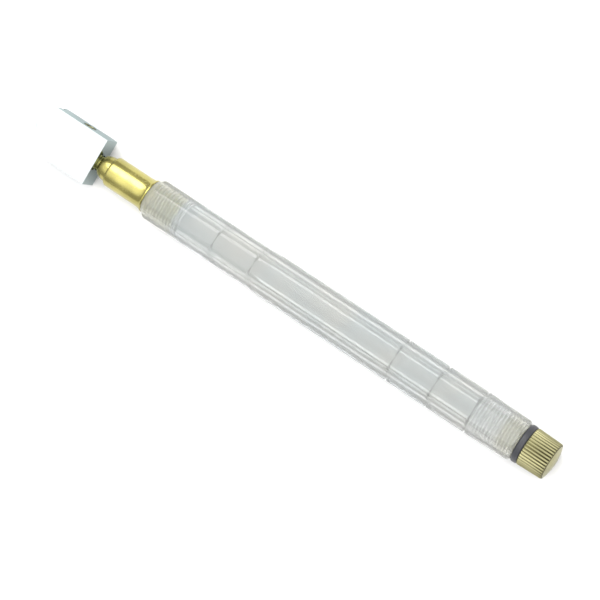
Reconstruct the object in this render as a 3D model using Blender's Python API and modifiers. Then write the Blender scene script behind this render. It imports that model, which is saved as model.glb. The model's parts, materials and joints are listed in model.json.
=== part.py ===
"""Oil-fed glass cutter: a wide swivelling head on a spring-loaded stem, a brass nose, a clear
six-sided barrel that holds the oil, and a knurled filler cap.

The tool lies on its barrel's lower flat, with the cutting wheel towards -X and the cap towards +X.
Every piece is drawn in the tool's own frame, whose Z runs along the tool from the barrel's front
face (z = 0) towards the cap, whose Y is the width of the head and whose -X points up when the tool
lies down. The empty at the top of the tree turns that frame to lie along the world's X.
"""

import math

import bmesh
import bpy
from mathutils import Matrix

MM = 0.001

# Driving dimensions, in millimetres along the tool and out from its axis.
CLEARANCE = 0.3
BARREL_LENGTH = 124.4
BARREL_FLATS = 11.6
BARREL_CORNERS = 12.8
GRIP_CORNERS = 12.2
GRIP_END = 37.0
GRIP_RISE = 5.0
REAR_CORNERS = 12.3
RING_PLACES = (24.2, 37.0, 84.2, 97.4, 109.9)
RING_HALF_WIDTH = 0.5
RING_BOTTOM_RADIUS = 5.65
FRONT_CHAMFER = (1.75, 1.15)
REAR_CHAMFER = (0.95, 0.85)
BORE_RADIUS = 3.5
THREAD_RADIUS = 4.1
SPIGOT_RADIUS = THREAD_RADIUS - CLEARANCE
FRONT_THREAD = 13.0
REAR_THREAD = 15.0

NOSE_LENGTH = 13.7
NOSE_RADIUS = 4.55
NOSE_SHOULDER = 0.6
FLARE_LENGTH = 2.4
FLARE_RADIUS = 5.05
NOSE_WALL = 0.55
NOSE_SPIGOT_END = 10.7
SPRING_SEAT = -4.0
VALVE_SEAT = 5.5
VALVE_CHAMBER_RADIUS = 3.1
GUIDE_RADIUS = 2.0

COLLAR_FRONT = -16.6
COLLAR_REAR = -11.0
COLLAR_RADIUS = 3.75
NECK_RADIUS = 2.2
ROD_RADIUS = 1.5
STEM_FRONT = -28.6
ROD_REAR = 8.7
OIL_RADIUS = 0.7
CROSS_HOLE_PLACE = -8.0
CROSS_HOLE_RADIUS = 0.5

WASHER_THICKNESS = 0.6
SPRING_WIRE = 0.35
SPRING_TURNS = 4
VALVE_RING_WIRE = 0.55
VALVE_NUT_RADIUS = 2.6
VALVE_NUT_LENGTH = 2.6

HEAD_REAR = -18.0
HEAD_SIDE = 18.0
HEAD_WIDTH = 14.3
HEAD_THICKNESS = 7.8
HEAD_NOSE = 3.7
HEAD_NOSE_ANGLE = math.radians(30)
HEAD_ROLL = math.radians(7)
HEAD_EDGE = 0.2
STEM_BORE_RADIUS = NECK_RADIUS + 0.2
SIDE_SCREW_PLACE = HEAD_REAR - 8.0
SIDE_SCREW_RADIUS = 1.85
SIDE_SCREW_SINK = 0.35

WHEEL_RADIUS = 2.5
WHEEL_THICKNESS = 1.1
WHEEL_EDGE = 0.2
WHEEL_PROUD = 0.8
AXLE_RADIUS = 0.6
SLOT_WIDTH = 1.5

CAP_RING_LENGTH = 2.0
CAP_RING_RADIUS = 5.75
CAP_RADIUS = 5.65
CAP_END_RADIUS = 5.45
CAP_KNURL_LENGTH = 7.5
CAP_DOME = 1.2
CAP_STEM = 6.4
KNURL_RIBS = 36
KNURL_DEPTH = 0.32

HEAD_TIP = HEAD_REAR - HEAD_SIDE - HEAD_NOSE
WHEEL_PLACE = HEAD_TIP - WHEEL_PROUD + WHEEL_RADIUS
CAP_FACE = BARREL_LENGTH + CAP_RING_LENGTH
CAP_END = CAP_FACE + CAP_KNURL_LENGTH + CAP_DOME
MIDDLE = (CAP_END + HEAD_TIP - WHEEL_PROUD) / 2
AXIS_HEIGHT = BARREL_FLATS / 2

FINE_STEPS = 48
PLAIN_STEPS = 32
SMALL_STEPS = 20
MERGE = 0.00001
SMOOTH_ANGLE = math.radians(32)


def clear_scene():
    for obj in list(bpy.data.objects):
        bpy.data.objects.remove(obj, do_unlink=True)


def new_collection(name):
    group = bpy.data.collections.new(name)
    bpy.context.scene.collection.children.link(group)
    return group


def finish(name, colour, metallic, roughness, alpha=1.0):
    """A Principled material for one sub-part."""
    made = bpy.data.materials.new(name)
    made.use_nodes = True
    shader = made.node_tree.nodes["Principled BSDF"]
    shader.inputs["Base Color"].default_value = (*colour, 1.0)
    shader.inputs["Metallic"].default_value = metallic
    shader.inputs["Roughness"].default_value = roughness
    shader.inputs["Alpha"].default_value = alpha
    return made


def brass(name):
    return finish(name, (0.66, 0.52, 0.22), 1.0, 0.25)


def steel(name):
    return finish(name, (0.60, 0.60, 0.62), 1.0, 0.30)


def rubber(name):
    return finish(name, (0.03, 0.03, 0.035), 0.0, 0.60)


def silicone(name):
    return finish(name, (0.70, 0.71, 0.69), 0.0, 0.45)


def empty(name, parent, place, turn=0.0):
    """A joint's axis: an empty on the tool's axis at `place`, turned about it by `turn`."""
    axis = bpy.data.objects.new(name, None)
    axis.empty_display_size = 5 * MM
    axis.location = (0, 0, place * MM)
    axis.rotation_euler = (0, 0, turn)
    axis.parent = parent
    PARTS.objects.link(axis)
    return axis


def add_object(name, data, parent, material, group=None):
    """Link a mesh or curve, drawn in the tool's frame, so that it follows `parent`."""
    obj = bpy.data.objects.new(name, data)
    obj.parent = parent
    obj.location = (0, 0, -along(parent) * MM)
    if material:
        data.materials.append(material)
    (group or PARTS).objects.link(obj)
    return obj


def along(parent):
    """How far along the tool an empty is, in millimetres, counted through its own parents."""
    place = 0.0
    while parent is not None and parent.parent is not None:
        place += parent.location.z / MM
        parent = parent.parent
    return place


def turned(name, profile, parent, material, steps, closed, group=None):
    """A turned piece. `profile` holds (radius, z) points, down the outer side first."""
    mesh = bpy.data.meshes.new(name)
    shape = bmesh.new()
    points = [shape.verts.new((r * MM, 0, z * MM)) for r, z in profile]
    for first, second in zip(points, points[1:]):
        shape.edges.new((first, second))
    if closed:
        shape.edges.new((points[-1], points[0]))
    shape.to_mesh(mesh)
    shape.free()
    obj = add_object(name, mesh, parent, material, group)
    screw = obj.modifiers.new("turn", "SCREW")
    screw.steps = steps
    screw.render_steps = steps
    screw.use_merge_vertices = True
    screw.merge_threshold = MERGE
    screw.use_smooth_shade = True
    return obj


def ring_section(radius, z, wire, count=10):
    """The round section of an O-ring or wire, clockwise as (radius, z) points."""
    angles = [-2 * math.pi * k / count for k in range(count)]
    return [(radius + wire * math.cos(a), z + wire * math.sin(a)) for a in angles]


def quarter_arc(start, end, count):
    """A quarter of an ellipse from `start` to `end`, leaving along the radius, as (radius, z) points."""
    points = []
    for k in range(count + 1):
        angle = math.pi / 2 * k / count
        r = start[0] + (end[0] - start[0]) * math.sin(angle)
        z = start[1] + (end[1] - start[1]) * (1 - math.cos(angle))
        points.append((r, z))
    return points


def cutter_cylinder(name, parent, radius, low, high, axis="Z", place=0.0, steps=SMALL_STEPS):
    """A cylinder along the tool's X, Y or Z from `low` to `high`, at `place` along the tool."""
    turn = {
        "X": Matrix.Rotation(math.pi / 2, 4, "Y"),
        "Y": Matrix.Rotation(-math.pi / 2, 4, "X"),
        "Z": Matrix.Identity(4),
    }[axis]
    middle = turn @ Matrix.Translation((0, 0, (low + high) / 2 * MM))
    if axis != "Z":
        middle = Matrix.Translation((0, 0, place * MM)) @ middle
    shape = bmesh.new()
    bmesh.ops.create_cone(
        shape,
        cap_ends=True,
        segments=steps,
        radius1=radius * MM,
        radius2=radius * MM,
        depth=(high - low) * MM,
        matrix=middle,
    )
    return as_cutter(name, shape, parent)


def cutter_box(name, parent, low, high):
    """A box between two corners in the tool's frame."""
    size = [(b - a) * MM for a, b in zip(low, high)]
    middle = [(a + b) / 2 * MM for a, b in zip(low, high)]
    shape = bmesh.new()
    place = Matrix.Translation(middle) @ Matrix.Diagonal((*size, 1.0))
    bmesh.ops.create_cube(shape, size=1.0, matrix=place)
    return as_cutter(name, shape, parent)


def as_cutter(name, shape, parent):
    mesh = bpy.data.meshes.new(name)
    shape.to_mesh(mesh)
    shape.free()
    obj = add_object(name, mesh, parent, None, CUTTERS)
    obj.hide_render = True
    obj.display_type = "WIRE"
    return obj


def boolean(obj, cutter, operation="DIFFERENCE"):
    cut = obj.modifiers.new(cutter.name, "BOOLEAN")
    cut.operation = operation
    cut.solver = "EXACT"
    cut.object = cutter


def shade(obj):
    obj.data.shade_smooth()
    obj.data.set_sharp_from_angle(angle=SMOOTH_ANGLE)


def barrel_outline():
    """Down the turned outside from the cap end, then up the bore: (radius, z) points."""
    rear = BARREL_CORNERS / 2
    front = GRIP_CORNERS / 2
    end = REAR_CORNERS / 2
    outline = [
        (end - REAR_CHAMFER[1], BARREL_LENGTH),
        (end, BARREL_LENGTH - REAR_CHAMFER[0]),
    ]
    for ring in reversed(RING_PLACES):
        ahead = front if ring <= GRIP_END else rear
        if ring == GRIP_END:
            outline.append((rear, GRIP_END + GRIP_RISE))
        outline += [
            (ahead, ring + RING_HALF_WIDTH),
            (RING_BOTTOM_RADIUS, ring),
            (ahead, ring - RING_HALF_WIDTH),
        ]
    outline += [
        (front, FRONT_CHAMFER[0]),
        (front - FRONT_CHAMFER[1], 0),
        (THREAD_RADIUS, 0),
        (THREAD_RADIUS, FRONT_THREAD),
        (BORE_RADIUS, FRONT_THREAD + THREAD_RADIUS - BORE_RADIUS),
        (BORE_RADIUS, BARREL_LENGTH - REAR_THREAD - THREAD_RADIUS + BORE_RADIUS),
        (THREAD_RADIUS, BARREL_LENGTH - REAR_THREAD),
        (THREAD_RADIUS, BARREL_LENGTH),
    ]
    return outline


def make_barrel(handle):
    """Clear six-sided bar with turned corners, five fine rings and a bore threaded at both ends."""
    clear = finish("barrel", (0.86, 0.88, 0.87), 0.0, 0.12, 0.35)
    barrel = turned("barrel", barrel_outline(), handle, clear, FINE_STEPS, closed=True)
    shape = bmesh.new()
    across = BARREL_FLATS / 2 / math.cos(math.pi / 6) * MM
    bmesh.ops.create_cone(
        shape,
        cap_ends=True,
        segments=6,
        radius1=across,
        radius2=across,
        depth=(BARREL_LENGTH + 10) * MM,
        matrix=Matrix.Translation((0, 0, BARREL_LENGTH / 2 * MM)),
    )
    boolean(barrel, as_cutter("barrel_bar", shape, handle), "INTERSECT")


def make_nose(handle):
    """Brass nose: a tube for the spring, a flare against the barrel and a spigot screwed into it."""
    inside = NOSE_RADIUS - NOSE_WALL
    groove = SPIGOT_RADIUS - 0.8
    outline = [
        (SPIGOT_RADIUS - 0.3, NOSE_SPIGOT_END),
        (SPIGOT_RADIUS, NOSE_SPIGOT_END - 0.3),
        (SPIGOT_RADIUS, 1.8),
        (groove, 1.8),
        (groove, 0.4),
        (SPIGOT_RADIUS, 0.4),
        (SPIGOT_RADIUS, -0.1),
        (FLARE_RADIUS, -0.1),
        (FLARE_RADIUS, -0.4),
        (NOSE_RADIUS, -FLARE_LENGTH),
        (NOSE_RADIUS, NOSE_SHOULDER - NOSE_LENGTH),
        (NOSE_RADIUS - 0.15, 0.3 * NOSE_SHOULDER - NOSE_LENGTH),
        (NOSE_RADIUS - 0.4, -NOSE_LENGTH),
        (inside, -NOSE_LENGTH),
        (inside, SPRING_SEAT),
        (GUIDE_RADIUS, SPRING_SEAT),
        (GUIDE_RADIUS, VALVE_SEAT),
        (VALVE_CHAMBER_RADIUS, VALVE_SEAT),
        (VALVE_CHAMBER_RADIUS, NOSE_SPIGOT_END),
    ]
    turned("nose_socket", outline, handle, brass("nose_socket"), PLAIN_STEPS, closed=True)
    ring = ring_section(groove + 0.5, 1.1, 0.42)
    turned("nose_o_ring", ring, handle, silicone("nose_o_ring"), PLAIN_STEPS, closed=True)


def make_spring(handle):
    """The spring that pushes the head forward, wound round the stem inside the nose."""
    low = COLLAR_REAR + CLEARANCE + WASHER_THICKNESS + 0.2 + SPRING_WIRE
    high = SPRING_SEAT - 0.2 - SPRING_WIRE
    mean = (ROD_RADIUS + NOSE_RADIUS - NOSE_WALL) / 2
    around = 14
    count = SPRING_TURNS * around
    curve = bpy.data.curves.new("feed_spring", "CURVE")
    curve.dimensions = "3D"
    curve.bevel_depth = SPRING_WIRE * MM
    curve.bevel_resolution = 2
    curve.use_fill_caps = True
    coil = curve.splines.new("POLY")
    coil.points.add(count)
    for k, point in enumerate(coil.points):
        angle = 2 * math.pi * k / around
        z = low + (high - low) * k / count
        point.co = (mean * math.cos(angle) * MM, mean * math.sin(angle) * MM, z * MM, 1)
    add_object("feed_spring", curve, handle, steel("feed_spring"))


def make_washer(carriage):
    """The washer that lets the stem turn against the spring."""
    front = COLLAR_REAR + CLEARANCE
    inner = ROD_RADIUS + 0.25
    outer = NOSE_RADIUS - NOSE_WALL - 0.3
    outline = [
        (outer, front + WASHER_THICKNESS),
        (outer, front),
        (inner, front),
        (inner, front + WASHER_THICKNESS),
    ]
    turned("thrust_washer", outline, carriage, steel("thrust_washer"), PLAIN_STEPS, closed=True)


def make_stem(head):
    """The stem: held in the head, domed where it enters the nose, a drilled rod behind."""
    dome = quarter_arc((COLLAR_RADIUS, -NOSE_LENGTH), (NECK_RADIUS + 0.15, COLLAR_FRONT), 5)
    outline = [
        (0, ROD_REAR),
        (ROD_RADIUS - 0.2, ROD_REAR),
        (ROD_RADIUS, ROD_REAR - 0.2),
        (ROD_RADIUS, COLLAR_REAR),
        (COLLAR_RADIUS, COLLAR_REAR),
        *reversed_arc(dome),
        (NECK_RADIUS, COLLAR_FRONT),
        (NECK_RADIUS, STEM_FRONT),
        (0, STEM_FRONT),
    ]
    stem = turned("swivel_stem", outline, head, brass("swivel_stem"), PLAIN_STEPS, closed=False)
    low = STEM_FRONT - 1
    boolean(stem, cutter_cylinder("oil_bore", head, OIL_RADIUS, low, CROSS_HOLE_PLACE + 1))
    half = COLLAR_RADIUS
    cross = cutter_cylinder(
        "cross_hole", head, CROSS_HOLE_RADIUS, -half, half, "Y", CROSS_HOLE_PLACE, 12
    )
    boolean(stem, cross)


def reversed_arc(points):
    """The dome's curve bulges forward and outward: mirror a quarter arc across its chord."""
    first, last = points[0], points[-1]
    return [(first[0] + last[0] - r, first[1] + last[1] - z) for r, z in reversed(points)]


def make_valve(head):
    """The sealing ring and nut at the stem's rear end, which shut the oil off at rest."""
    z = VALVE_SEAT + 0.2 + VALVE_RING_WIRE
    ring = ring_section(ROD_RADIUS + 0.3 + VALVE_RING_WIRE, z, VALVE_RING_WIRE)
    turned("valve_o_ring", ring, head, rubber("valve_o_ring"), PLAIN_STEPS, closed=True)
    front = z + VALVE_RING_WIRE + 0.2
    rear = front + VALVE_NUT_LENGTH
    socket = ROD_RADIUS + 0.25
    outline = [
        (0, rear),
        (VALVE_NUT_RADIUS - 0.6, rear),
        (VALVE_NUT_RADIUS, rear - 0.6),
        (VALVE_NUT_RADIUS, front),
        (socket, front),
        (socket, ROD_REAR + 0.3),
        (0, ROD_REAR + 0.3),
    ]
    turned("valve_nut", outline, head, brass("valve_nut"), PLAIN_STEPS, closed=False)


def make_head(head):
    """Flat wide block with a pointed front, slotted for the wheel and bored for the stem."""
    half = HEAD_WIDTH / 2
    front = HEAD_REAR - HEAD_SIDE
    nose = half - HEAD_NOSE / math.tan(HEAD_NOSE_ANGLE)
    outline = [
        (-half, HEAD_REAR),
        (-half, front),
        (-nose, HEAD_TIP),
        (nose, HEAD_TIP),
        (half, front),
        (half, HEAD_REAR),
    ]
    block = extruded("head_block", outline, HEAD_THICKNESS, head, finish_of_head())
    edges = block.modifiers.new("edges", "BEVEL")
    edges.width = HEAD_EDGE * MM
    edges.segments = 1
    thick = HEAD_THICKNESS / 2
    behind = WHEEL_PLACE + WHEEL_RADIUS + 0.5
    bore_end = STEM_FRONT - 0.4
    slot = SLOT_WIDTH / 2
    cuts = [
        cutter_box("wheel_slot", head, (-slot, -half - 1, HEAD_TIP - 1), (slot, half + 1, behind)),
        cutter_cylinder("stem_bore", head, STEM_BORE_RADIUS, bore_end, HEAD_REAR + 1),
        cutter_cylinder("oil_gallery", head, OIL_RADIUS, behind - 1, bore_end + 1, steps=12),
        cutter_cylinder("axle_hole", head, AXLE_RADIUS + 0.1, -thick - 1, thick + 1, "X", WHEEL_PLACE),
        cutter_cylinder("screw_hole", head, SIDE_SCREW_RADIUS + 0.2, 0, half + 1, "Y", SIDE_SCREW_PLACE),
    ]
    for cut in cuts:
        boolean(block, cut)


def finish_of_head():
    return finish("head_block", (0.80, 0.82, 0.82), 1.0, 0.12)


def extruded(name, outline, thickness, parent, material):
    """A flat outline of (y, z) points, thickened evenly along the tool's X."""
    curve = bpy.data.curves.new(name, "CURVE")
    curve.dimensions = "2D"
    curve.fill_mode = "BOTH"
    curve.extrude = thickness / 2 * MM
    edge = curve.splines.new("POLY")
    edge.points.add(len(outline) - 1)
    for point, (y, z) in zip(edge.points, outline):
        point.co = (y * MM, z * MM, 0, 1)
    edge.use_cyclic_u = True
    guide = bpy.data.objects.new(name, curve)
    PARTS.objects.link(guide)
    seen = guide.evaluated_get(bpy.context.evaluated_depsgraph_get())
    mesh = bpy.data.meshes.new_from_object(seen)
    bpy.data.objects.remove(guide)
    shape = bmesh.new()
    shape.from_mesh(mesh)
    bmesh.ops.remove_doubles(shape, verts=shape.verts, dist=MERGE)
    lie = Matrix(((0, 0, 1, 0), (1, 0, 0, 0), (0, 1, 0, 0), (0, 0, 0, 1)))
    bmesh.ops.transform(shape, matrix=lie, verts=shape.verts)
    bmesh.ops.recalc_face_normals(shape, faces=shape.faces)
    shape.to_mesh(mesh)
    shape.free()
    mesh.materials.clear()
    return add_object(name, mesh, parent, material)


def make_side_screw(head):
    """Slotted grub screw in the head's side, which clamps the stem."""
    outer = HEAD_WIDTH / 2 - SIDE_SCREW_SINK
    inner = STEM_BORE_RADIUS + 0.1
    shape = bmesh.new()
    bmesh.ops.create_cone(
        shape,
        cap_ends=True,
        segments=SMALL_STEPS,
        radius1=SIDE_SCREW_RADIUS * MM,
        radius2=SIDE_SCREW_RADIUS * MM,
        depth=(outer - inner) * MM,
        matrix=Matrix.Translation((0, (outer + inner) / 2 * MM, SIDE_SCREW_PLACE * MM))
        @ Matrix.Rotation(-math.pi / 2, 4, "X"),
    )
    mesh = bpy.data.meshes.new("head_screw")
    shape.to_mesh(mesh)
    shape.free()
    screw = add_object("head_screw", mesh, head, brass("head_screw"))
    low = (-3, outer - 0.8, SIDE_SCREW_PLACE - 0.35)
    high = (3, outer + 1, SIDE_SCREW_PLACE + 0.35)
    boolean(screw, cutter_box("screw_slot", head, low, high))


def make_wheel(head, wheel):
    """The carbide wheel with its V edge, and the pin it runs on."""
    across = Matrix.Translation((0, 0, WHEEL_PLACE * MM)) @ Matrix.Rotation(math.pi / 2, 4, "Y")
    half = WHEEL_THICKNESS / 2
    hole = AXLE_RADIUS + 0.1
    shoulder = WHEEL_RADIUS - WHEEL_EDGE
    outline = [(shoulder, half), (WHEEL_RADIUS, 0), (shoulder, -half), (hole, -half), (hole, half)]
    disc = turned("cutting_wheel", outline, wheel, steel("cutting_wheel"), PLAIN_STEPS, closed=True)
    disc.location = (0, 0, 0)
    disc.rotation_euler = (0, math.pi / 2, 0)
    shape = bmesh.new()
    bmesh.ops.create_cone(
        shape,
        cap_ends=True,
        segments=SMALL_STEPS,
        radius1=AXLE_RADIUS * MM,
        radius2=AXLE_RADIUS * MM,
        depth=(HEAD_THICKNESS - 0.4) * MM,
        matrix=across,
    )
    mesh = bpy.data.meshes.new("wheel_axle")
    shape.to_mesh(mesh)
    shape.free()
    add_object("wheel_axle", mesh, head, steel("wheel_axle"))


def make_cap_ring(seal):
    """The rubber ring squeezed between the barrel and the filler cap."""
    outer = CAP_RING_RADIUS
    inner = SPIGOT_RADIUS + 0.3
    rear = CAP_FACE - 0.1
    front = BARREL_LENGTH + 0.1
    soft = 0.3
    outline = [
        (outer - soft, rear),
        (outer, rear - soft),
        (outer, front + soft),
        (outer - soft, front),
        (inner, front),
        (inner, rear),
    ]
    turned("cap_o_ring", outline, seal, rubber("cap_o_ring"), FINE_STEPS, closed=True)


def make_cap(cap):
    """The knurled brass filler cap with its threaded stem."""
    knurl_end = CAP_FACE + CAP_KNURL_LENGTH
    stem_end = BARREL_LENGTH - CAP_STEM
    outline = [
        (0, CAP_END),
        (0.75 * CAP_END_RADIUS, CAP_END - 0.15),
        (0.92 * CAP_END_RADIUS, CAP_END - 0.5),
        (CAP_END_RADIUS, knurl_end),
        (CAP_RADIUS, CAP_FACE + 0.3),
        (CAP_RADIUS - 0.3, CAP_FACE),
        (SPIGOT_RADIUS, CAP_FACE),
        (SPIGOT_RADIUS, stem_end + 0.5),
        (SPIGOT_RADIUS - 0.5, stem_end),
        (0, stem_end),
    ]
    body = turned("filler_cap", outline, cap, brass("filler_cap"), 2 * KNURL_RIBS, closed=False)
    shape = bmesh.new()
    for k in range(KNURL_RIBS):
        spin = Matrix.Rotation(2 * math.pi * (k + 0.5) / KNURL_RIBS, 4, "Z")
        lean = Matrix.Rotation(-math.atan((CAP_RADIUS - CAP_END_RADIUS) / CAP_KNURL_LENGTH), 4, "Y")
        middle = Matrix.Translation((CAP_RADIUS * MM, 0, (CAP_FACE + CAP_KNURL_LENGTH / 2) * MM))
        bmesh.ops.create_cone(
            shape,
            cap_ends=True,
            segments=4,
            radius1=KNURL_DEPTH * MM,
            radius2=KNURL_DEPTH * MM,
            depth=(CAP_KNURL_LENGTH + 2) * MM,
            matrix=spin @ middle @ lean,
        )
    boolean(body, as_cutter("knurl_cuts", shape, cap))


def main():
    tool = empty("cutter", None, 0)
    tool.location = (-MIDDLE * MM, 0, AXIS_HEIGHT * MM)
    tool.rotation_euler = (0, math.pi / 2, 0)
    carriage = empty("press_axis", tool, COLLAR_REAR)
    head = empty("swivel_axis", carriage, HEAD_REAR - COLLAR_REAR, HEAD_ROLL)
    wheel = empty("wheel_axis", head, WHEEL_PLACE - HEAD_REAR)
    seal = empty("travel_axis", tool, CAP_FACE)
    cap = empty("turn_axis", seal, 0)
    make_barrel(tool)
    make_nose(tool)
    make_spring(tool)
    make_washer(carriage)
    make_stem(head)
    make_valve(head)
    make_head(head)
    make_side_screw(head)
    make_wheel(head, wheel)
    make_cap_ring(seal)
    make_cap(cap)
    for obj in PARTS.objects:
        if obj.type == "MESH":
            shade(obj)


clear_scene()
PARTS = new_collection("glass_cutter")
CUTTERS = new_collection("cutters")
main()
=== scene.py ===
"""Oil-fed glass cutter: the fine surfaces, finishes, stage and camera round the packed parts.

Shapes are drawn in the tool's own frame and in millimetres. X runs along the tool from the
barrel's front face towards the filler cap, Y is the width of the head and Z points up from the
tool's axis. `TOOL` and `HEAD` put them in the world, in metres.
"""

import json
import math

import bmesh
import bpy
from bpy.props import FloatProperty, FloatVectorProperty, IntProperty, PointerProperty
from mathutils import Matrix, Vector


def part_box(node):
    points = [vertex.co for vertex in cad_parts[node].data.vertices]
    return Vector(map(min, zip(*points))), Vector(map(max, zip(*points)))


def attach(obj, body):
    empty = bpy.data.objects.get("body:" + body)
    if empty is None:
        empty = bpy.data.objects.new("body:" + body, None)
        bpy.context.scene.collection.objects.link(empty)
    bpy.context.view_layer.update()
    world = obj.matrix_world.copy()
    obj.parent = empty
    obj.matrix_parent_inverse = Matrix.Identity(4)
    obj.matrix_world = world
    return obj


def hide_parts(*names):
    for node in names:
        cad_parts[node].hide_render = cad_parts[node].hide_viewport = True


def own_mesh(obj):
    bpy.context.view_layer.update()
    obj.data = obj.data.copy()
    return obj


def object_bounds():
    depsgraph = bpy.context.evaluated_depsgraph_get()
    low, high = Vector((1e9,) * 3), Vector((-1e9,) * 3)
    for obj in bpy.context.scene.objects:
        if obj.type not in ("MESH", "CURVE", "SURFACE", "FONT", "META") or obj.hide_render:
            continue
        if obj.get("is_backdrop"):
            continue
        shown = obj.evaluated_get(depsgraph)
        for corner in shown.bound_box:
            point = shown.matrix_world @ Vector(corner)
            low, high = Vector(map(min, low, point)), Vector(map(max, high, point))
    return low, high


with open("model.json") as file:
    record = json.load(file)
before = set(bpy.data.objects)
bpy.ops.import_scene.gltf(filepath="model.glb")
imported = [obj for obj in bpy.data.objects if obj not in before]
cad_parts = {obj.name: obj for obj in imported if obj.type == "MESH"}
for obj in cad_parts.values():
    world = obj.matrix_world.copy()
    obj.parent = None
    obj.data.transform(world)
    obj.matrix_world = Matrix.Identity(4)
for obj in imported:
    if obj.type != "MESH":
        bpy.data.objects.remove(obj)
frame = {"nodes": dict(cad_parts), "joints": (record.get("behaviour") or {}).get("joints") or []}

bl_info = {
    "name": "Oil-Fed Glass Cutter",
    "version": (1, 0, 0),
    "blender": (4, 5, 0),
    "location": "View3D > Sidebar > Glass Cutter",
    "description": "Builds the fine surfaces and finishes of an oil-fed glass cutter",
    "category": "Mesh",
}

MM = 0.001
MERGE = 0.0005
ROUND_STEPS = 128
SMALL_STEPS = 64
ROWS_PER_PITCH = 12
SHARP_ANGLE = math.radians(14)
FLOOR_HALF = 1.5
FLOOR_DROP = 0.00005
SOFTBOX_PLACE = (-0.28, 0.36, 0.70)
SOFTBOX_SIZE = (0.50, 0.58)
SKY_HEIGHTS = (0.45, 0.90)

BARREL_LOW, BARREL_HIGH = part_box("barrel")
BARREL_LENGTH = (BARREL_HIGH.x - BARREL_LOW.x) / MM
BARREL_FLATS = (BARREL_HIGH.z - BARREL_LOW.z) / MM
AXIS_HEIGHT = (BARREL_HIGH.z + BARREL_LOW.z) / 2


def along(node):
    """Where a node begins and ends along the tool, in millimetres from the barrel's front face."""
    low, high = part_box(node)
    return (low.x - BARREL_LOW.x) / MM, (high.x - BARREL_LOW.x) / MM


def head_roll():
    """How far the head is turned about the tool's axis at rest, from the wheel's own axis."""
    spin = next(joint for joint in frame["joints"] if joint["name"] == "wheel_spin")
    return math.atan2(-spin["axis"][1], spin["axis"][2])


TOOL = Matrix.Translation((BARREL_LOW.x, 0, AXIS_HEIGHT)) @ Matrix.Diagonal((MM, MM, MM, 1))
HEAD = TOOL @ Matrix.Rotation(head_roll(), 4, "X")

NOSE_FRONT, SPIGOT_END = along("nose_socket")
STEM_FRONT, STEM_REAR = along("swivel_stem")
HEAD_TIP, HEAD_REAR = along("head_block")
RING_FRONT, RING_REAR = along("cap_o_ring")
CAP_STEM_END, CAP_END = along("filler_cap")
WHEEL_FRONT, WHEEL_REAR = along("cutting_wheel")
CAP_FACE = RING_REAR + 0.1
COLLAR_REAR = -11.0
SPRING_SEAT = -4.0
CHAMBER_FRONT = 5.5
CHAMBER_RADIUS = 3.1
PASSAGE_RADIUS = 2.0
THREAD_START = 2.0
GRIP_END = 37.0
GRIP_TAPER = 5.5
RING_PLACES = (24.2, GRIP_END, 84.2, 97.4, 109.9)


# Properties ------------------------------------------------------------------------------------


def length(name, description, millimetres):
    return FloatProperty(
        name=name, description=description, default=millimetres * MM, min=0.0, unit="LENGTH"
    )


def colour(name, description, value):
    return FloatVectorProperty(
        name=name, description=description, default=value, size=3, min=0.0, max=1.0, subtype="COLOR"
    )


def number(name, description, value):
    return FloatProperty(name=name, description=description, default=value, min=0.0)


def angle(name, description, degrees):
    return FloatProperty(
        name=name, description=description, default=math.radians(degrees), subtype="ANGLE"
    )


def count(name, description, value):
    return IntProperty(name=name, description=description, default=value, min=1)


class CutterBarrelSizes(bpy.types.PropertyGroup):
    """The clear barrel."""

    flats: length("Across Flats", "Width of the six-sided bar", BARREL_FLATS)
    corners: length("Across Corners", "Turned width behind the grip", 12.8)
    grip_corners: length("Grip Corners", "Turned width of the grip", 12.2)
    rear_corners: length("Rear Corners", "Turned width at the cap end", 12.3)
    ring_root: length("Ring Radius", "Radius at the bottom of each turned ring", 5.71)
    ring_width: length("Ring Width", "Width of each turned ring over the corners", 0.8)
    bore: length("Bore Radius", "Radius of the oil bore", 3.5)
    pitch: length("Thread Pitch", "Pitch of both threads", 1.0)
    thread_depth: length("Thread Depth", "Depth of both threads", 0.6)
    thread_gap: length("Thread Gap", "Room between the two halves of a thread", 0.1)
    front_thread: length("Front Thread", "Length of the thread for the nose", 13.0)
    rear_thread: length("Rear Thread", "Length of the thread for the cap", 15.0)


class CutterBrassSizes(bpy.types.PropertyGroup):
    """The brass nose and the stem that turns in it."""

    nose: length("Nose Radius", "Radius of the nose's tube", 4.55)
    flare: length("Flare Radius", "Radius of the flare against the barrel", 5.05)
    flare_length: length("Flare Length", "How far the flare reaches along the nose", 2.4)
    wall: length("Nose Wall", "Wall of the nose's tube", 0.55)
    collar: length("Collar Radius", "Radius of the stem's collar", 3.75)
    neck: length("Neck Radius", "Radius of the stem behind the head", 2.2)
    rod: length("Rod Radius", "Radius of the stem inside the nose", 1.5)
    spring_wire: length("Spring Wire", "Radius of the spring's wire", 0.35)
    spring_radius: length("Spring Radius", "Radius of the spring's turns", 2.75)
    spring_pressed: length("Pressed Spring", "Length of the spring with the head pressed", 5.05)
    spring_turns: count("Spring Turns", "Turns of the spring", 4)


class CutterHeadSizes(bpy.types.PropertyGroup):
    """The wide head, its screw, pin and wheel."""

    width: length("Head Width", "Width of the head", 14.3)
    thickness: length("Head Thickness", "Thickness of the head", 7.8)
    nose: length("Head Nose", "Length of the head's pointed front", 3.7)
    nose_angle: angle("Nose Angle", "Angle of the head's front edges", 30)
    edge: length("Head Edge", "Width of the rounded edges", 0.16)
    slot: length("Wheel Slot", "Width of the slot for the wheel", 1.5)
    wheel: length("Wheel Thickness", "Thickness of the wheel", 1.1)
    axle: length("Axle Radius", "Radius of the wheel's pin", 0.6)
    screw: length("Screw Radius", "Radius of the side screw", 1.85)
    screw_place: length("Screw Place", "How far the side screw is from the head's rear", 8.0)


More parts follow.
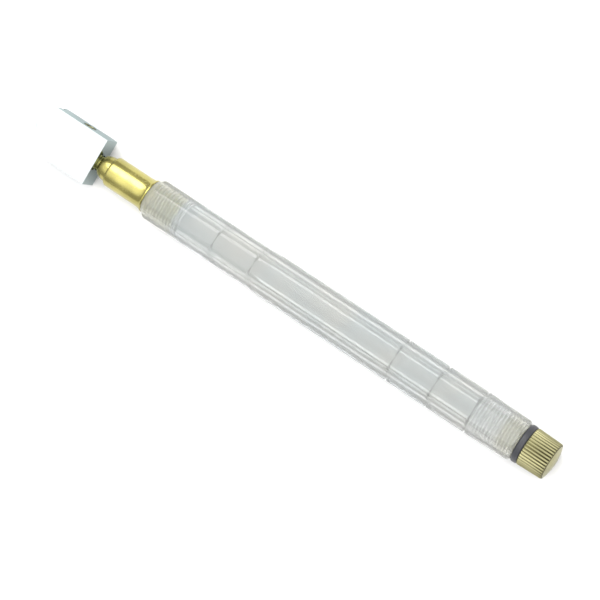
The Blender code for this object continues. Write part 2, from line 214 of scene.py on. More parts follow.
class CutterCapSizes(bpy.types.PropertyGroup):
    """The filler cap and its rubber ring."""

    radius: length("Cap Radius", "Radius of the cap beside the ring", 5.65)
    end_radius: length("Cap End Radius", "Radius of the cap at its end", 5.45)
    knurl: length("Knurl Length", "Length of the knurled side", 7.5)
    ribs: count("Ribs", "Ribs of the knurl", 36)
    rib_depth: length("Rib Depth", "Depth of the grooves between the ribs", 0.40)
    ring: length("Ring Radius", "Outer radius of the rubber ring", 5.75)


class CutterColours(bpy.types.PropertyGroup):
    """The finishes."""

    acrylic: colour("Acrylic", "Clear plastic of the barrel", (0.655, 0.66, 0.63))
    acrylic_cool: colour("Acrylic Tint", "Cooler clouds in the plastic", (0.605, 0.64, 0.635))
    bore_haze: number("Bore Haze", "Roughness of the drilled bore", 0.12)
    # Brass colour painted on the plastic where brass lies behind it, standing in for the brass seen
    # through it.
    through: colour("Brass Through Plastic", "Where brass shows through it", (0.44, 0.41, 0.08))
    brass: colour("Polished Brass", "Nose, stem and screw", (0.44, 0.395, 0.13))
    cap_brass: colour("Dull Brass", "Knurled cap", (0.33, 0.31, 0.165))
    plating: colour("Plating", "Plated head", (0.44, 0.47, 0.47))
    steel: colour("Steel", "Pin, washer and spring", (0.62, 0.62, 0.64))
    carbide: colour("Carbide", "Cutting wheel", (0.36, 0.37, 0.39))
    rubber: colour("Rubber", "Black sealing rings", (0.030, 0.031, 0.036))
    silicone: colour("Silicone", "Pale sealing ring of the nose", (0.70, 0.71, 0.69))
    floor: colour("Floor", "The white sheet below", (0.86, 0.86, 0.86))


class CutterStage(bpy.types.PropertyGroup):
    """Camera and lights."""

    distance: length("Camera Distance", "From the camera to the tool's middle", 690)
    lens: number("Lens", "Focal length of the camera", 151.1)
    tilt: angle("Tilt", "How far the camera leans from overhead towards the cap", 14.2)
    turn: angle("Turn", "How far the tool's axis runs down to the right", 33.5)
    side_lean: angle("Side Lean", "How far the camera leans to the head screw's side", 2.1)
    aim_right: length("Aim Right", "Aim to the right of the tool's middle", 3.3)
    aim_down: length("Aim Down", "Aim below the tool's middle", 3.45)
    key: number("Softbox", "Power of the softbox overhead", 3.4)
    zenith: number("Zenith", "Strength of the sky overhead", 2.4)
    horizon: number("Horizon", "Strength of the sky low down", 0.8)


SETTINGS = {
    "cutter_barrel": CutterBarrelSizes,
    "cutter_brass": CutterBrassSizes,
    "cutter_head": CutterHeadSizes,
    "cutter_cap": CutterCapSizes,
    "cutter_colours": CutterColours,
    "cutter_stage": CutterStage,
}


# Shapes ----------------------------------------------------------------------------------------


def mm(value):
    return value / MM


def off_axis(spot):
    return math.hypot(spot.y, spot.z)


def ramp(value, start, end):
    """0 before start, 1 after end, and smooth between them."""
    t = min(max((value - start) / (end - start), 0.0), 1.0)
    return t * t * (3 - 2 * t)


def arc(start, end, bulge, count=6):
    """Points of a quarter ellipse between two (along, radius) points.

    It leaves `start` along the tool if bulge is "along", or along the radius if it is "radius".
    """
    points = []
    for k in range(count + 1):
        angle = math.pi / 2 * k / count
        a, b = math.sin(angle), 1 - math.cos(angle)
        if bulge == "radius":
            a, b = b, a
        points.append((start[0] + (end[0] - start[0]) * a, start[1] + (end[1] - start[1]) * b))
    return points


def rows(start, end, step, radius_at):
    """Evenly spaced points from start to end, at the radius that radius_at gives."""
    count = max(1, round(abs(end - start) / step))
    places = [start + (end - start) * k / count for k in range(count + 1)]
    return [(place, radius_at(place)) for place in places]


def turn(outline, steps=ROUND_STEPS, closed=True):
    """Spin an outline of (along, radius) points about the tool's axis."""
    shape = bmesh.new()
    rim = [shape.verts.new((x, 0, max(r, 0.0))) for x, r in outline]
    edges = [shape.edges.new(pair) for pair in zip(rim, rim[1:])]
    if closed:
        edges.append(shape.edges.new((rim[-1], rim[0])))
    bmesh.ops.spin(
        shape,
        geom=rim + edges,
        cent=(0, 0, 0),
        axis=(1, 0, 0),
        angle=2 * math.pi,
        steps=steps,
        use_merge=True,
        use_duplicate=False,
    )
    bmesh.ops.remove_doubles(shape, verts=shape.verts, dist=MERGE)
    bmesh.ops.recalc_face_normals(shape, faces=shape.faces)
    return shape


def crease(shape, angle=SHARP_ANGLE, soft=None):
    """Shade smooth, with a sharp edge wherever two faces meet at more than `angle`.

    `soft` says of an edge's middle that it stays smooth, as on a thread.
    """
    for face in shape.faces:
        face.smooth = True
    for edge in shape.edges:
        if len(edge.link_faces) == 2 and edge.calc_face_angle() > angle:
            middle = (edge.verts[0].co + edge.verts[1].co) / 2
            edge.smooth = bool(soft and soft(middle))


def thread_wave(place, spot, pitch):
    """The screw's crest (1) and root (0) at a place along the tool and round it."""
    turns = math.atan2(spot.z, spot.y) / (2 * math.pi)
    t = (place / pitch - turns) % 1.0
    wave = 1 - abs(2 * t - 1)
    return min(max((wave - 0.12) / 0.76, 0.0), 1.0)


def cut_thread(shape, start, end, root, depth, pitch, near, fade=(1.0, 1.0)):
    """Raise a screw thread between start and end on the turned surface of radius `near`."""
    for vert in shape.verts:
        place = vert.co.x
        radius = off_axis(vert.co)
        if not start < place < end or abs(radius - near) > 0.02:
            continue
        fading = ramp(place, start, start + fade[0]) * (1 - ramp(place, end - fade[1], end))
        goal = root + depth * thread_wave(place, vert.co, pitch) * fading
        vert.co.y *= goal / radius
        vert.co.z *= goal / radius


def as_object(name, shape):
    """Turn a shape into an object of the scene, which uses the shape up."""
    mesh = bpy.data.meshes.new(name)
    shape.to_mesh(mesh)
    shape.free()
    item = bpy.data.objects.new(name, mesh)
    bpy.context.scene.collection.objects.link(item)
    return item


def finish_piece(name, shape, place, body, material, node, sharp=SHARP_ANGLE, soft=None):
    """Put a shape in the world as a named piece that rides on a body and stands for a CAD node."""
    crease(shape, sharp, soft)
    bmesh.ops.transform(shape, matrix=place, verts=shape.verts)
    piece = as_object(name, shape)
    piece.data.materials.append(material)
    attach(piece, body)
    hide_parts(node)
    return piece


def cut_and_round(shape, cutters, edge, segments=3, crisp=()):
    """Cut a shape, round its edges, then make the crisp cuts. Returns a new bmesh."""
    block = as_object("block", shape)
    tools = [as_object("cutter", cutter) for cutter in [*cutters, *crisp]]
    for number, tool in enumerate([*tools, None]):
        if number == len(cutters):
            bevel = block.modifiers.new("edges", "BEVEL")
            bevel.width = edge
            bevel.segments = segments
            bevel.limit_method = "ANGLE"
            bevel.angle_limit = math.radians(30)
        if tool is not None:
            cut = block.modifiers.new("cut", "BOOLEAN")
            cut.operation = "DIFFERENCE"
            cut.solver = "EXACT"
            cut.object = tool
    seen = block.evaluated_get(bpy.context.evaluated_depsgraph_get())
    mesh = bpy.data.meshes.new_from_object(seen)
    result = bmesh.new()
    result.from_mesh(mesh)
    bpy.data.meshes.remove(mesh)
    for item in [block, *tools]:
        data = item.data
        bpy.data.objects.remove(item)
        bpy.data.meshes.remove(data)
    bmesh.ops.remove_doubles(result, verts=result.verts, dist=MERGE)
    bmesh.ops.recalc_face_normals(result, faces=result.faces)
    return result


def rod(radius, low, high, direction, centre=(0, 0, 0), steps=SMALL_STEPS):
    """A solid cylinder from low to high along X, Y or Z."""
    turns = {"X": Matrix.Rotation(math.pi / 2, 4, "Y"), "Y": Matrix.Rotation(-math.pi / 2, 4, "X")}
    spin = turns.get(direction, Matrix.Identity(4))
    middle = Matrix.Translation(centre) @ spin @ Matrix.Translation((0, 0, (low + high) / 2))
    shape = bmesh.new()
    bmesh.ops.create_cone(
        shape,
        cap_ends=True,
        segments=steps,
        radius1=radius,
        radius2=radius,
        depth=high - low,
        matrix=middle,
    )
    return shape


def coil(wire, mean, low, high, turns):
    """A round wire wound along X, whose middle runs from low to high."""
    shape = bmesh.new()
    bmesh.ops.create_circle(
        shape,
        cap_ends=True,
        segments=12,
        radius=wire,
        matrix=Matrix.Translation((low, mean, 0)),
    )
    steps = turns * SMALL_STEPS // 2
    bmesh.ops.spin(
        shape,
        geom=[*shape.verts, *shape.edges, *shape.faces],
        cent=(0, 0, 0),
        axis=(1, 0, 0),
        dvec=((high - low) / steps, 0, 0),
        angle=2 * math.pi * turns,
        steps=steps,
    )
    bmesh.ops.recalc_face_normals(shape, faces=shape.faces)
    return shape


def box_shape(low, high):
    size = [b - a for a, b in zip(low, high)]
    middle = [(a + b) / 2 for a, b in zip(low, high)]
    shape = bmesh.new()
    place = Matrix.Translation(middle) @ Matrix.Diagonal((*size, 1.0))
    bmesh.ops.create_cube(shape, size=1.0, matrix=place)
    return shape


# Shader groups ---------------------------------------------------------------------------------


class Graph:
    """A node tree that is filled node by node."""

    def __init__(self, tree):
        self.tree = tree

    def plug(self, value, socket):
        """Link another node's output to a socket, or set the socket to a plain value."""
        if isinstance(value, bpy.types.NodeSocket):
            self.tree.links.new(value, socket)
        else:
            socket.default_value = value

    def add(self, kind, inputs=None, **settings):
        made = self.tree.nodes.new(kind)
        for name, value in settings.items():
            setattr(made, name, value)
        for name, value in (inputs or {}).items():
            self.plug(value, made.inputs[name])
        return made

    def math(self, operation, *values, clamp=False):
        inputs = dict(enumerate(values))
        return self.add("ShaderNodeMath", inputs, operation=operation, use_clamp=clamp).outputs[0]

    def total(self, start, *parts):
        """The start plus each part, where a part is a (value, weight) pair."""
        for value, weight in parts:
            start = self.math("MULTIPLY_ADD", value, weight, start)
        return start

    def between(self, value, low, high, to_low=0.0, to_high=1.0, kind="SMOOTHSTEP"):
        """Map a value from low..high to to_low..to_high, clamped."""
        inputs = {
            "Value": value,
            "From Min": low,
            "From Max": high,
            "To Min": to_low,
            "To Max": to_high,
        }
        return self.add("ShaderNodeMapRange", inputs, interpolation_type=kind).outputs["Result"]

    def noise(self, vector, scale, detail=2.0, rough=0.5, stretch=None):
        if stretch:
            vector = self.add(
                "ShaderNodeMapping", {"Vector": vector, "Scale": stretch}
            ).outputs["Vector"]
        inputs = {"Vector": vector, "Scale": scale, "Detail": detail, "Roughness": rough}
        return self.add("ShaderNodeTexNoise", inputs).outputs["Fac"]

    def mix(self, amount, first, second):
        inputs = {"Factor": amount, "A": first, "B": second}
        made = self.tree.nodes.new("ShaderNodeMix")
        made.data_type = "RGBA"
        for name, value in inputs.items():
            self.plug(value, next(s for s in made.inputs if s.name == name and s.enabled))
        return next(s for s in made.outputs if s.enabled)


def new_group(name, inputs, outputs):
    """An empty shader group. Sockets are {name: (socket type, default)}."""
    tree = bpy.data.node_groups.new(name, "ShaderNodeTree")
    for label, (kind, value) in inputs.items():
        socket = tree.interface.new_socket(label, in_out="INPUT", socket_type=kind)
        if value is not None:
            socket.default_value = value
    for label, kind in outputs.items():
        tree.interface.new_socket(label, in_out="OUTPUT", socket_type=kind)
    graph = Graph(tree)
    start = tree.nodes.new("NodeGroupInput")
    end = tree.nodes.new("NodeGroupOutput")
    return graph, start.outputs, end.inputs


FLOAT = "NodeSocketFloat"
VECTOR = "NodeSocketVector"


def hairlines_group():
    """Fine scratches in two crossing directions and a few deeper ones."""
    graph, given, out = new_group(
        "Hairlines",
        {"Vector": (VECTOR, None), "Fineness": (FLOAT, 1.0), "Amount": (FLOAT, 0.5)},
        {"Mask": FLOAT, "Height": FLOAT},
    )
    spots = []
    for turn_angle, seed in ((0.09, 0.0), (-0.35, 3.7), (1.2, 8.1)):
        turned = graph.add(
            "ShaderNodeMapping",
            {
                "Vector": given["Vector"],
                "Location": (seed, seed, seed),
                "Rotation": (turn_angle, turn_angle, turn_angle),
            },
        ).outputs["Vector"]
        size = graph.math("MULTIPLY", given["Fineness"], 420.0)
        lines = graph.noise(turned, size, 1.0, 0.5, (0.05, 3.0, 3.0))
        spots.append(graph.between(lines, 0.64, 0.72))
    both = graph.math("ADD", spots[0], spots[1])
    mask = graph.math("MULTIPLY", graph.math("ADD", both, spots[2], clamp=True), given["Amount"])
    graph.plug(mask, out["Mask"])
    graph.plug(graph.math("SUBTRACT", 1.0, mask), out["Height"])
    return graph.tree


def lathe_lines_group():
    """Fine rings left by the lathe, which change only along the tool."""
    graph, given, out = new_group(
        "Lathe Lines",
        {"Vector": (VECTOR, None), "Fineness": (FLOAT, 1.0), "Amount": (FLOAT, 0.5)},
        {"Mask": FLOAT, "Height": FLOAT},
    )
    size = graph.math("MULTIPLY", given["Fineness"], 5200.0)
    fine = graph.noise(given["Vector"], size, 2.0, 0.7, (1.0, 0.012, 0.012))
    broad = graph.noise(given["Vector"], 420.0, 1.0, 0.5, (1.0, 0.04, 0.04))
    mask = graph.math("MULTIPLY", graph.between(fine, 0.35, 0.75), given["Amount"])
    both = graph.math("MULTIPLY", mask, graph.between(broad, 0.3, 0.7, 0.5, 1.0))
    graph.plug(both, out["Mask"])
    graph.plug(both, out["Height"])
    return graph.tree


def handling_group():
    """Soft smudges from fingers, small dust and slow changes of tone."""
    graph, given, out = new_group(
        "Handling",
        {"Vector": (VECTOR, None), "Size": (FLOAT, 1.0), "Amount": (FLOAT, 0.5)},
        {"Smudge": FLOAT, "Dust": FLOAT, "Tone": FLOAT},
    )
    size = graph.math("DIVIDE", 260.0, given["Size"])
    smudge = graph.between(graph.noise(given["Vector"], size, 3.0, 0.6), 0.42, 0.70)
    dust = graph.between(graph.noise(given["Vector"], 4200.0, 1.0, 0.5), 0.70, 0.78)
    slow = graph.noise(given["Vector"], graph.math("DIVIDE", 95.0, given["Size"]), 2.0, 0.5)
    graph.plug(graph.math("MULTIPLY", smudge, given["Amount"]), out["Smudge"])
    graph.plug(graph.math("MULTIPLY", dust, given["Amount"]), out["Dust"])
    graph.plug(graph.between(slow, 0.3, 0.7), out["Tone"])
    return graph.tree


def from_axis_group():
    """The distance from the tool's axis, in millimetres, so that grooves and bores can be told."""
    graph, given, out = new_group("From Axis", {"Vector": (VECTOR, None)}, {"Radius": FLOAT})
    moved = graph.add(
        "ShaderNodeMapping", {"Vector": given["Vector"], "Location": (0, 0, -AXIS_HEIGHT)}
    ).outputs["Vector"]
    flat = graph.add(
        "ShaderNodeVectorMath", {0: moved, 1: (0.0, 1.0, 1.0)}, operation="MULTIPLY"
    ).outputs["Vector"]
    size = graph.add("ShaderNodeVectorMath", {0: flat}, operation="LENGTH").outputs["Value"]
    graph.plug(graph.math("MULTIPLY", size, 1 / MM), out["Radius"])
    return graph.tree


GROUP_MAKERS = {
    "Hairlines": hairlines_group,
    "Lathe Lines": lathe_lines_group,
    "Handling": handling_group,
    "From Axis": from_axis_group,
}


def group(graph, name, inputs):
    tree = bpy.data.node_groups.get(name) or GROUP_MAKERS[name]()
    placed = graph.tree.nodes.new("ShaderNodeGroup")
    placed.node_tree = tree
    for label, value in inputs.items():
        graph.plug(value, placed.inputs[label])
    return placed.outputs


def start_material(name, constants):
    """A material with its Principled BSDF, its graph and its Object coordinates."""
    made = bpy.data.materials.new(name)
    made.use_nodes = True
    graph = Graph(made.node_tree)
    shader = made.node_tree.nodes["Principled BSDF"]
    for label, value in constants.items():
        shader.inputs[label].default_value = value
    spot = graph.add("ShaderNodeTexCoord").outputs["Object"]
    return made, graph, shader, spot


def connect(graph, shader, base, rough, height=None, depth=0.0):
    """Plug a colour, a roughness and a bump of `depth` metres into the shader."""
    graph.plug(base, shader.inputs["Base Color"])
    graph.plug(rough, shader.inputs["Roughness"])
    if height is not None:
        bump = graph.add("ShaderNodeBump", {"Height": height, "Strength": 1.0, "Distance": depth})
        graph.plug(bump.outputs["Normal"], shader.inputs["Normal"])


def rgba(value):
    return (*value, 1.0)


def darker(value, amount):
    return tuple(part * amount for part in value)


# Finishes --------------------------------------------------------------------------------------


def clear_acrylic(colours):
    """Clear plastic: polished outside, hazy in its bore, with a painted brass tint where brass lies
    behind it, standing in for the brass seen through it.
    """
    made, graph, shader, spot = start_material(
        "Clear Acrylic", {"Transmission Weight": 0.72, "IOR": 1.49, "Metallic": 0.0}
    )
    touch = group(graph, "Handling", {"Vector": spot, "Size": 1.3, "Amount": 1.0})
    lines = group(graph, "Hairlines", {"Vector": spot, "Fineness": 1.0, "Amount": 1.0})
    radius = group(graph, "From Axis", {"Vector": spot})["Radius"]
    bore = graph.between(radius, 4.3, 4.2)
    tapped = graph.between(radius, 3.52, 3.60)
    haze = graph.between(tapped, 0.0, 1.0, colours.bore_haze, 0.05, "LINEAR")
    cloudy = graph.mix(touch["Tone"], rgba(colours.acrylic), rgba(colours.acrylic_cool))
    along_tool = graph.add("ShaderNodeSeparateXYZ", {"Vector": spot}).outputs["X"]
    # Painted brass tint, standing in for the brass seen through the plastic: over the nose's spigot and
    # the cap's stem, full on the bore and about an eighth on the outer skin.
    spigot = BARREL_LOW.x + SPIGOT_END * MM
    front = graph.between(along_tool, spigot, spigot - 0.0006)
    plug = BARREL_LOW.x + CAP_STEM_END * MM
    rear = graph.between(along_tool, plug - 0.0002, plug + 0.002, 0.0, 0.6)
    depth = graph.between(radius, 5.6, 4.2, 0.12, 1.0, "LINEAR")
    painted_brass_mask = graph.math("MULTIPLY", depth, graph.math("MAXIMUM", front, rear))
    base = graph.mix(painted_brass_mask, cloudy, rgba(colours.through))
    outside = graph.total(0.03, (touch["Smudge"], 0.04), (lines["Mask"], 0.06))
    rough = graph.between(bore, 0.0, 1.0, outside, haze, "LINEAR")
    connect(graph, shader, base, rough)
    return made


def polished_brass(colours):
    """Lacquered, polished brass with faint lathe rings, a few hairlines and warmer clouds."""
    made, graph, shader, spot = start_material("Polished Brass", {"Metallic": 1.0})
    touch = group(graph, "Handling", {"Vector": spot, "Size": 0.8, "Amount": 1.0})
    lathe = group(graph, "Lathe Lines", {"Vector": spot, "Fineness": 1.0, "Amount": 1.0})
    lines = group(graph, "Hairlines", {"Vector": spot, "Fineness": 1.6, "Amount": 0.8})
    warm = rgba(darker(colours.brass, 0.74))
    base = graph.mix(touch["Tone"], rgba(colours.brass), warm)
    worn = (touch["Smudge"], 0.10), (lathe["Mask"], 0.06), (lines["Mask"], 0.12)
    rough = graph.total(0.16, *worn)
    height = graph.total(lathe["Height"], (lines["Height"], 1.5))
    connect(graph, shader, base, rough, height, 0.0000012)
    return made


def dull_brass(colours, cap):
    """Unlacquered brass of the cap: darker in the grooves and rubbed brighter on the ribs."""
    made, graph, shader, spot = start_material("Dull Brass", {"Metallic": 1.0})
    touch = group(graph, "Handling", {"Vector": spot, "Size": 0.7, "Amount": 1.0})
    lathe = group(graph, "Lathe Lines", {"Vector": spot, "Fineness": 0.8, "Amount": 1.0})
    lines = group(graph, "Hairlines", {"Vector": spot, "Fineness": 1.8, "Amount": 1.0})
    radius = group(graph, "From Axis", {"Vector": spot})["Radius"]
    rim, deep = mm(cap.end_radius), mm(cap.rib_depth)
    rubbed = graph.between(radius, rim - deep * 0.85, rim - deep * 0.1)
    inside = graph.between(radius, rim - deep * 1.05, rim - deep * 1.3)
    clean = graph.math("MAXIMUM", rubbed, inside)
    tarnish = rgba(darker(colours.cap_brass, 0.12))
    worn = graph.mix(touch["Tone"], rgba(colours.cap_brass), rgba(darker(colours.cap_brass, 0.82)))
    base = graph.mix(clean, tarnish, worn)
    grimy = graph.between(clean, 0.0, 1.0, 0.62, 0.34, "LINEAR")
    rough = graph.total(grimy, (touch["Smudge"], 0.10), (lines["Mask"], 0.10))
    height = graph.total(lathe["Height"], (lines["Height"], 1.2))
    connect(graph, shader, base, rough, height, 0.000003)
    return made


def plated(colours):
    """Bright plating of the head, with a soft brushed grain along it and handling marks."""
    made, graph, shader, spot = start_material(
        "Bright Plating", {"Metallic": 1.0, "Specular Tint": (0.50, 0.58, 0.58, 1.0)}
    )
    touch = group(graph, "Handling", {"Vector": spot, "Size": 1.2, "Amount": 1.0})
    lines = group(graph, "Hairlines", {"Vector": spot, "Fineness": 1.3, "Amount": 0.7})
    base = graph.mix(touch["Tone"], rgba(colours.plating), rgba(darker(colours.plating, 0.95)))
    rough = graph.total(0.07, (touch["Smudge"], 0.07), (lines["Mask"], 0.10))
    connect(graph, shader, base, rough, lines["Height"], 0.0000008)
    return made


def ground_metal(name, tint, roughness):
    """Plain ground steel or carbide."""
    made, graph, shader, spot = start_material(name, {"Metallic": 1.0})
    touch = group(graph, "Handling", {"Vector": spot, "Size": 0.5, "Amount": 1.0})
    lines = group(graph, "Hairlines", {"Vector": spot, "Fineness": 2.4, "Amount": 1.0})
    base = graph.mix(touch["Tone"], rgba(tint), rgba(darker(tint, 0.85)))
    rough = graph.total(roughness, (lines["Mask"], 0.18))
    connect(graph, shader, base, rough, lines["Height"], 0.0000015)
    return made


def moulded(name, tint, dusty):
    """Moulded rubber or silicone with a fine matt grain and a little dust."""
    made, graph, shader, spot = start_material(name, {"Specular IOR Level": 0.45})
    touch = group(graph, "Handling", {"Vector": spot, "Size": 0.6, "Amount": 1.0})
    base = graph.mix(graph.math("MULTIPLY", touch["Dust"], 0.8), rgba(tint), rgba(dusty))
    rough = graph.total(0.42, (touch["Smudge"], 0.12))
    grain = graph.noise(spot, 9000.0, 2.0, 0.6)
    connect(graph, shader, base, rough, grain, 0.000006)
    return made


def black_rubber(colours):
    return moulded("Black Rubber", colours.rubber, (0.075, 0.075, 0.08))


def pale_silicone(colours):
    return moulded("Pale Silicone", colours.silicone, darker(colours.silicone, 0.8))


def white_floor(colours):
    """A matt white sheet with the faintest tone in it."""
    made, graph, shader, spot = start_material("White Sheet", {"Specular IOR Level": 0.1})
    tone = graph.noise(spot, 6.0, 2.0, 0.5)
    base = graph.mix(tone, rgba(colours.floor), rgba(darker(colours.floor, 0.99)))
    rough = graph.between(graph.noise(spot, 900.0, 2.0, 0.5), 0.3, 0.7, 0.85, 0.95)
    connect(graph, shader, base, rough)
    return made


# Outlines --------------------------------------------------------------------------------------


def barrel_skin(sizes):
    """The turned outside from front to rear, before the six flats are cut."""
    grip, rear, end = (mm(v) / 2 for v in (sizes.grip_corners, sizes.corners, sizes.rear_corners))
    half = mm(sizes.ring_width) / 2
    bottom = mm(sizes.ring_root)
    points = [(0.0, grip - 1.15), (0.12, grip - 1.0), (1.63, grip - 0.05), (1.9, grip)]
    for place in RING_PLACES:
        over = grip if place <= GRIP_END else rear
        points += [
            (place - half, over),
            (place - 0.06, bottom + 0.03),
            (place, bottom),
            (place + 0.06, bottom + 0.03),
            (place + half, over),
        ]
        if place == GRIP_END:
            taper_end = GRIP_END + GRIP_TAPER
            points += rows(
                place + half + 0.3,
                taper_end,
                0.8,
                lambda x: grip + (rear - grip) * ramp(x, GRIP_END + half, taper_end),
            )
    points += [
        (BARREL_LENGTH - 1.0, end),
        (BARREL_LENGTH - 0.8, end - 0.09),
        (BARREL_LENGTH - 0.1, end - 0.75),
        (BARREL_LENGTH, end - 0.88),
    ]
    return points


def barrel_bore(sizes):
    """The bore from rear to front: two tapped ends and the plain oil chamber between them."""
    bore = mm(sizes.bore)
    open_radius = bore + mm(sizes.thread_depth)
    step = mm(sizes.pitch) / ROWS_PER_PITCH
    tapped = BARREL_LENGTH - mm(sizes.rear_thread)
    front = mm(sizes.front_thread)
    points = [(BARREL_LENGTH, open_radius + 0.2), (BARREL_LENGTH - 0.25, open_radius)]
    points += rows(BARREL_LENGTH - 0.3, tapped, step, lambda x: bore)
    points += rows(tapped - 2.0, front + 2.0, 6.0, lambda x: bore)
    points += rows(front, 2.0, step, lambda x: bore)
    points += [(1.9, open_radius), (0.2, open_radius), (0.0, open_radius + 0.2)]
    return points


def cut_flats(shape, apothem):
    """Cut the six flats of the bar with planes and close each cut."""
    for k in range(6):
        spin = Matrix.Rotation(math.pi / 3 * k, 3, "X")
        out = spin @ Vector((0, 0, 1))
        whole = shape.verts[:] + shape.edges[:] + shape.faces[:]
        cut = bmesh.ops.bisect_plane(
            shape,
            geom=whole,
            dist=0.00001,
            plane_co=out * apothem,
            plane_no=out,
            clear_outer=True,
        )["geom_cut"]
        rim = [item for item in cut if isinstance(item, bmesh.types.BMEdge)]
        bmesh.ops.edgenet_fill(shape, edges=rim)
    bmesh.ops.recalc_face_normals(shape, faces=shape.faces)


# Pieces ----------------------------------------------------------------------------------------


class CUTTER_OT_barrel(bpy.types.Operator):
    """Make the clear six-sided barrel with its turned rings and tapped ends"""

    bl_idname = "cutter.barrel"
    bl_label = "Make Barrel"

    def execute(self, context):
        sizes = context.scene.cutter_barrel
        shape = turn(barrel_skin(sizes) + barrel_bore(sizes))
        cut_flats(shape, mm(sizes.flats) / 2)
        bore = mm(sizes.bore)
        depth = mm(sizes.thread_depth)
        pitch = mm(sizes.pitch)
        tapped = BARREL_LENGTH - mm(sizes.rear_thread)
        cut_thread(shape, 1.95, mm(sizes.front_thread), bore, depth, pitch, bore, (0.1, 1.0))
        cut_thread(shape, tapped, BARREL_LENGTH - 0.27, bore, depth, pitch, bore, (1.0, 0.1))
        finish_piece(
            "clear_barrel", shape, TOOL, "handle",
            clear_acrylic(context.scene.cutter_colours), "barrel",
            soft=lambda spot: off_axis(spot) < bore + depth - 0.01,
        )
        return {"FINISHED"}


class CUTTER_OT_nose(bpy.types.Operator):
    """Make the brass nose with its flare and threaded spigot, and its sealing ring"""

    bl_idname = "cutter.nose"
    bl_label = "Make Nose"

    def execute(self, context):
        sizes = context.scene.cutter_brass
        barrel = context.scene.cutter_barrel
        colours = context.scene.cutter_colours
        root = mm(barrel.bore) - mm(barrel.thread_gap)
        land = root + mm(barrel.thread_depth) - 0.05
        nose = mm(sizes.nose)
        flare = mm(sizes.flare)
        reach = mm(sizes.flare_length)
        inside = nose - mm(sizes.wall)
        step = mm(barrel.pitch) / ROWS_PER_PITCH
        outline = [(SPIGOT_END, CHAMBER_RADIUS), (SPIGOT_END, root - 0.05)]
        outline += rows(SPIGOT_END - 0.15, 2.05, step, lambda x: root)
        outline += [(1.8, root - 0.1), (1.8, 3.0), (0.4, 3.0), (0.4, land), (-0.08, land)]
        outline += [(-0.08, flare - 0.06), (-0.14, flare), (-0.42, flare)]
        outline += arc((-0.42, flare), (-reach - 0.5, nose), "radius", 8)[1:]
        outline += [(NOSE_FRONT + 2.0, nose), (NOSE_FRONT + 0.75, nose)]
        outline += arc((NOSE_FRONT + 0.75, nose), (NOSE_FRONT, inside + 0.12), "along", 8)[1:]
        outline += [(NOSE_FRONT + 0.1, inside), (SPRING_SEAT, inside)]
        outline += [(SPRING_SEAT, PASSAGE_RADIUS), (CHAMBER_FRONT, PASSAGE_RADIUS)]
        outline += [(CHAMBER_FRONT, CHAMBER_RADIUS)]
        shape = turn(outline)
        depth = mm(barrel.thread_depth)
        pitch = mm(barrel.pitch)
        cut_thread(shape, THREAD_START, SPIGOT_END - 0.1, root, depth, pitch, root, (0.3, 0.6))
        finish_piece(
            "brass_nose", shape, TOOL, "handle",
            polished_brass(colours), "nose_socket",
            sharp=math.radians(25),
            soft=lambda spot: THREAD_START < spot.x < SPIGOT_END - 0.2 and off_axis(spot) > 3.3,
        )
        ring = turn(round_section(1.1, 3.55, 0.52))
        finish_piece(
            "nose_seal", ring, TOOL, "handle",
            pale_silicone(colours), "nose_o_ring",
        )
        return {"FINISHED"}


def round_section(place, radius, wire, count=24):
    """The round section of a ring of wire or rubber."""
    angles = [2 * math.pi * k / count for k in range(count)]
    return [(place + wire * math.cos(a), radius + wire * math.sin(a)) for a in angles]


class CUTTER_OT_stem(bpy.types.Operator):
    """Make the brass stem with its domed collar"""

    bl_idname = "cutter.stem"
    bl_label = "Make Stem"

    def execute(self, context):
        sizes = context.scene.cutter_brass
        collar = mm(sizes.collar)
        neck = mm(sizes.neck)
        rod_radius = mm(sizes.rod)
        dome_end = HEAD_REAR + 0.8
        outline = [(STEM_FRONT, 0.0), (STEM_FRONT, neck - 0.2), (STEM_FRONT + 0.2, neck)]
        outline += [(dome_end - 0.15, neck)]
        outline += arc((dome_end, neck + 0.2), (NOSE_FRONT - 0.2, collar), "radius", 12)
        outline += [(COLLAR_REAR - 0.05, collar), (COLLAR_REAR, collar - 0.05)]
        outline += [(COLLAR_REAR, rod_radius)]
        outline += [(STEM_REAR - 0.2, rod_radius), (STEM_REAR, rod_radius - 0.2), (STEM_REAR, 0.0)]
        finish_piece(
            "brass_stem", turn(outline, closed=False), HEAD, "head",
            polished_brass(context.scene.cutter_colours), "swivel_stem",
            sharp=math.radians(30),
        )
        return {"FINISHED"}


def head_outline(sizes):
    """The head's wide face: straight sides and a blunt pointed front, as (along, width) points."""
    half = mm(sizes.width) / 2
    front = HEAD_TIP + mm(sizes.nose)
    blunt = half - mm(sizes.nose) / math.tan(sizes.nose_angle)
    return [
        (HEAD_REAR, half),
        (front, half),
        (HEAD_TIP, blunt),
        (HEAD_TIP, -blunt),
        (front, -half),
        (HEAD_REAR, -half),
    ]


